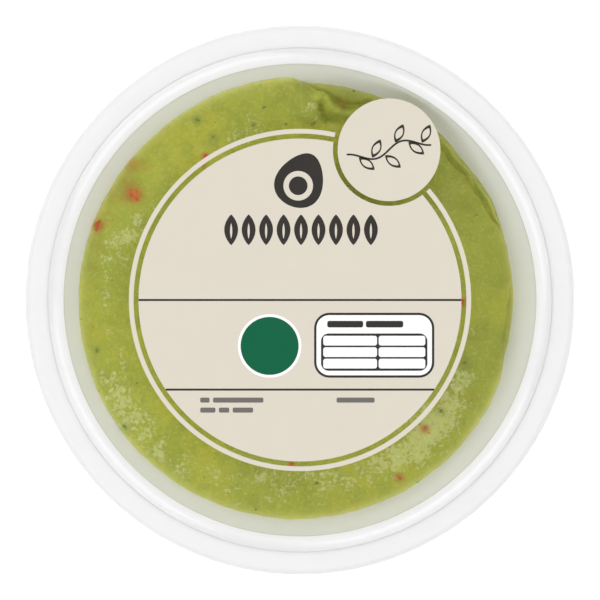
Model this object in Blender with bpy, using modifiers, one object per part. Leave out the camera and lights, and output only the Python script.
"""A small round tub of guacamole, sealed with a clear film.

Three solids in one body: the moulded tub, the guacamole that fills it to an uneven level, and the
film across its rim. Units are metres. The origin is at the middle of the base, +Z is up, and the
back of the tub, where the guacamole is folded into a lump, is +Y.
"""

import math

import bmesh
import bpy

MM = 0.001
SEGMENTS = 96  # round the axis, the same for every turned piece so that the gaps stay even
GAP = 0.3 * MM  # between solids that rest on each other

# The tub: outer sizes first, then the wall, then the rim and the foot.
OUTER_RADIUS = 40.0 * MM
PACK_HEIGHT = 30.0 * MM
FILM_THICKNESS = 0.2 * MM
LAND_HEIGHT = PACK_HEIGHT - FILM_THICKNESS - GAP  # the flat ring that the film is sealed to
MOUTH_RADIUS = 34.25 * MM  # inner edge of that ring
DRAFT = math.radians(13.0)
WALL = 0.8 * MM
LAND_OUTER_RADIUS = 36.1 * MM
STEP_RADIUS = 36.45 * MM
BEVEL_DROP = 0.25 * MM
STEP_DROP = 0.55 * MM  # from the land down to the outer flange
FLANGE_SLOPE_DROP = 0.2 * MM
FLANGE_EDGE_FILLET = 1.3 * MM
SKIRT_HEIGHT = 2.2 * MM
FOOT_WIDTH = 2.2 * MM
FOOT_RECESS = 0.6 * MM
RECESS_BEVEL = 0.5 * MM
FLOOR_HEIGHT = 1.5 * MM
OUTER_FOOT_FILLET = 3.0 * MM
INNER_FOOT_FILLET = 3.5 * MM
FILLET_STEPS = 3
SMALL_FILLET = 1.0 * MM  # a fillet under this size takes one step fewer

# The guacamole: how far its edge lies below the land, round the wall from +X towards +Y.
EDGE_DEPTHS = (
    (0, 11.0), (18, 10.9), (27, 9.6), (34, 10.1), (40, 10.3), (50, 9.1), (68, 8.5), (80, 9.0),
    (88, 8.9), (92, 6.6), (98, 6.4), (112, 6.9), (130, 7.8), (150, 7.7), (180, 7.1), (205, 6.9),
    (235, 7.3), (265, 8.0), (290, 8.9), (312, 9.1), (330, 9.4), (338, 9.8), (345, 11.7), (352, 11.3),
)
EDGE_FADE = 9  # the power by which an edge level fades towards the average one, away from the wall
SHOULDER_RISE = 0.7 * MM  # how far the surface stands above its own edge
SHOULDER_SHARPNESS = 14  # the power of the curve that drops from the shoulder to the edge
DOME_RISE = 0.5 * MM
SWELL = 0.25 * MM  # the slow waves left by filling
RING_FRACTIONS = (0.25, 0.5, 0.66, 0.74, 0.80, 0.85, 0.89, 0.92, 0.945, 0.965, 0.983, 1.0)

# Lumps and hollows on it: x, y, radius and height.
LUMPS = (
    (1.6 * MM, 28.6 * MM, 3.4 * MM, 1.3 * MM),  # the fold's crest
    (5.0 * MM, 30.0 * MM, 1.9 * MM, -2.6 * MM),  # the hollow between the fold and the wall
    (3.9 * MM, 26.6 * MM, 1.5 * MM, -1.2 * MM),  # the valley at the fold's foot
    (8.0 * MM, 28.0 * MM, 1.8 * MM, 0.9 * MM),  # the strand that leads away from it
)
# The lip that stands against the wall on the right: its middle, half length and shape.
LIP_ANGLE = math.radians(35.0)
LIP_HALF_ANGLE = math.radians(16.0)
LIP_INSET = 1.3 * MM
LIP_WIDTH = 1.1 * MM
LIP_GROOVE = 0.8 * MM


def inner_radius(height):
    """Radius of the tub's inner wall at this height."""
    return MOUTH_RADIUS - (LAND_HEIGHT - height) * math.tan(DRAFT)


def outer_radius(height):
    return inner_radius(height) + WALL / math.cos(DRAFT)


def filleted(corners):
    """Points of an outline of (radius, height, fillet) corners, each fillet as a round arc."""
    points = []
    for index, (x, z, fillet) in enumerate(corners):
        if not fillet:
            points.append((x, z))
            continue
        before, after = corners[index - 1], corners[index + 1]
        to_before = math.atan2(before[1] - z, before[0] - x)
        to_after = math.atan2(after[1] - z, after[0] - x)
        turn = (to_after - to_before + math.pi) % (2 * math.pi) - math.pi
        half = abs(turn) / 2
        bisector = to_before + turn / 2
        centre_x = x + fillet / math.sin(half) * math.cos(bisector)
        centre_z = z + fillet / math.sin(half) * math.sin(bisector)
        sweep = (math.pi - abs(turn)) * math.copysign(1, turn)
        start = bisector + math.pi + sweep / 2
        steps = FILLET_STEPS if fillet >= SMALL_FILLET else FILLET_STEPS - 1
        for step in range(steps + 1):
            angle = start - sweep * step / steps
            points.append((centre_x + fillet * math.cos(angle), centre_z + fillet * math.sin(angle)))
    return points


def principled(name, colour, roughness, alpha=1.0):
    material = bpy.data.materials.new(name)
    material.use_nodes = True
    shader = material.node_tree.nodes["Principled BSDF"]
    shader.inputs["Base Color"].default_value = (*colour, 1.0)
    shader.inputs["Roughness"].default_value = roughness
    shader.inputs["Metallic"].default_value = 0.0
    shader.inputs["Alpha"].default_value = alpha
    return material


def turned(name, profile, material, collection):
    """A solid turned about the Z axis from a profile that runs down its outer side."""
    mesh = bpy.data.meshes.new(name)
    shape = bmesh.new()
    corners = [shape.verts.new((x, 0.0, z)) for x, z in profile]
    for start, end in zip(corners, corners[1:]):
        shape.edges.new((start, end))
    shape.to_mesh(mesh)
    shape.free()
    mesh.materials.append(material)
    piece = bpy.data.objects.new(name, mesh)
    collection.objects.link(piece)
    screw = piece.modifiers.new("Turn", "SCREW")
    screw.axis = "Z"
    screw.steps = SEGMENTS
    screw.render_steps = SEGMENTS
    screw.use_merge_vertices = True
    screw.merge_threshold = 0.01 * MM
    screw.use_smooth_shade = True
    return piece


def make_tub(collection):
    """The moulded tub: flat sealing land, stepped flange with a skirt, tapered wall and foot ring."""
    flange_top = LAND_HEIGHT - STEP_DROP
    flange_edge = flange_top - FLANGE_SLOPE_DROP
    flange_under = flange_top - WALL
    foot_radius = outer_radius(0.0)
    foot_inner = foot_radius - OUTER_FOOT_FILLET - FOOT_WIDTH + RECESS_BEVEL
    corners = (
        (0.0, FLOOR_HEIGHT, 0),
        (inner_radius(FLOOR_HEIGHT), FLOOR_HEIGHT, INNER_FOOT_FILLET),
        (MOUTH_RADIUS, LAND_HEIGHT, 0.25 * MM),
        (LAND_OUTER_RADIUS, LAND_HEIGHT, 0),
        (STEP_RADIUS, LAND_HEIGHT - BEVEL_DROP, 0),
        (STEP_RADIUS, flange_top, 0),
        (OUTER_RADIUS, flange_edge, FLANGE_EDGE_FILLET),
        (OUTER_RADIUS, flange_top - SKIRT_HEIGHT, 0.2 * MM),
        (OUTER_RADIUS - WALL, flange_top - SKIRT_HEIGHT, 0.2 * MM),
        (OUTER_RADIUS - WALL, flange_under, 0.6 * MM),
        (outer_radius(flange_under), flange_under, 0.6 * MM),
        (foot_radius, 0.0, OUTER_FOOT_FILLET),
        (foot_inner, 0.0, 0),
        (foot_inner - RECESS_BEVEL, FOOT_RECESS, 0),
        (0.0, FOOT_RECESS, 0),
    )
    white = principled("tub_white", (0.86, 0.86, 0.84), 0.4)
    return turned("tub", filleted(corners), white, collection)


def edge_depth(angle):
    """Depth of the guacamole's edge below the land, eased between the named levels."""
    degrees = math.degrees(angle) % 360
    levels = EDGE_DEPTHS + ((360, EDGE_DEPTHS[0][1]),)
    for (start, depth), (end, next_depth) in zip(levels, levels[1:]):
        if start <= degrees <= end:
            share = (degrees - start) / (end - start)
            ease = (1 - math.cos(math.pi * share)) / 2
            return (depth + (next_depth - depth) * ease) * MM
    return EDGE_DEPTHS[0][1] * MM


def lip_relief(radius, angle, edge_radius):
    """A narrow ridge close to the wall with a groove inside it, fading out at both ends."""
    along = (angle - LIP_ANGLE + math.pi) % (2 * math.pi) - math.pi
    if abs(along) > LIP_HALF_ANGLE:
        return 0.0
    fade = math.cos(math.pi / 2 * along / LIP_HALF_ANGLE) ** 0.5
    across = (radius - (edge_radius - LIP_INSET)) / LIP_WIDTH
    return -LIP_GROOVE * fade * math.exp(-(across**2) * 4)


def surface_height(fraction, angle):
    """Height of the guacamole's top at this share of the way out to the wall."""
    depth = edge_depth(angle)
    edge_radius = inner_radius(LAND_HEIGHT - depth) - GAP / math.cos(DRAFT)
    radius = fraction * edge_radius
    x, y = radius * math.cos(angle), radius * math.sin(angle)
    # Away from the wall the local edge level fades into the average one.
    average = sum(value for _, value in EDGE_DEPTHS) / len(EDGE_DEPTHS) * MM
    base = -average + (average - depth) * fraction**EDGE_FADE
    shoulder = SHOULDER_RISE * (1 - fraction**SHOULDER_SHARPNESS)
    dome = DOME_RISE * (1 - fraction**2)
    swell = SWELL * (1 - fraction**6) * (math.sin(3 * angle + 0.6) + math.sin(x * 230 + 1.0) * math.cos(y * 190))
    relief = 0.0
    if fraction < 1:
        for lump_x, lump_y, size, height in LUMPS:
            relief += height * math.exp(-((x - lump_x) ** 2 + (y - lump_y) ** 2) / size**2)
        relief += lip_relief(radius, angle, edge_radius)
    return LAND_HEIGHT + base + shoulder + dome + swell + relief


def make_guacamole(collection):
    """The filling: a turned plug that follows the tub's inside, its flat top then given its relief."""
    deepest = LAND_HEIGHT - max(depth for _, depth in EDGE_DEPTHS) * MM
    level = deepest - 1.0 * MM
    clearance = GAP / math.cos(DRAFT)
    level_radius = inner_radius(level) - clearance
    floor = FLOOR_HEIGHT + GAP
    corners = [(0.0, level, 0)]
    corners += [(level_radius * fraction, level, 0) for fraction in RING_FRACTIONS]
    corners += [
        (inner_radius(floor) - clearance, floor, INNER_FOOT_FILLET - GAP),
        (0.0, floor, 0),
    ]
    green = principled("guacamole_green", (0.36, 0.38, 0.06), 0.45)
    plug = turned("guacamole_plug", filleted(corners), green, collection)

    graph = bpy.context.evaluated_depsgraph_get()
    mesh = bpy.data.meshes.new_from_object(plug.evaluated_get(graph))
    bpy.data.objects.remove(plug)
    for vertex in mesh.vertices:
        x, y, z = vertex.co
        if z < level - 0.1 * MM:
            continue
        angle = math.atan2(y, x)
        fraction = min(math.hypot(x, y) / level_radius, 1.0)
        edge_height = LAND_HEIGHT - edge_depth(angle)
        radius = fraction * (inner_radius(edge_height) - clearance)
        vertex.co = (radius * math.cos(angle), radius * math.sin(angle), surface_height(fraction, angle))
    mesh.shade_smooth()
    filling = bpy.data.objects.new("guacamole", mesh)
    collection.objects.link(filling)
    return filling


def make_film(collection):
    """The lidding film, a thin disc just above the sealing land."""
    film_bottom = LAND_HEIGHT + GAP
    bpy.ops.mesh.primitive_cylinder_add(
        vertices=SEGMENTS,
        radius=LAND_OUTER_RADIUS,
        depth=FILM_THICKNESS,
        location=(0, 0, film_bottom + FILM_THICKNESS / 2),
    )
    film = bpy.context.object
    film.name = "film"
    for owner in film.users_collection:
        owner.objects.unlink(film)
    collection.objects.link(film)
    film.data.materials.append(principled("film_clear", (0.95, 0.95, 0.93), 0.1, alpha=0.3))
    film.data.shade_smooth()
    film.data.set_sharp_from_angle(angle=math.radians(30))
    return film


def main():
    for old in list(bpy.data.objects):
        bpy.data.objects.remove(old)
    collection = bpy.data.collections.new("guacamole_tub")
    bpy.context.scene.collection.children.link(collection)
    make_tub(collection)
    make_guacamole(collection)
    make_film(collection)


main()
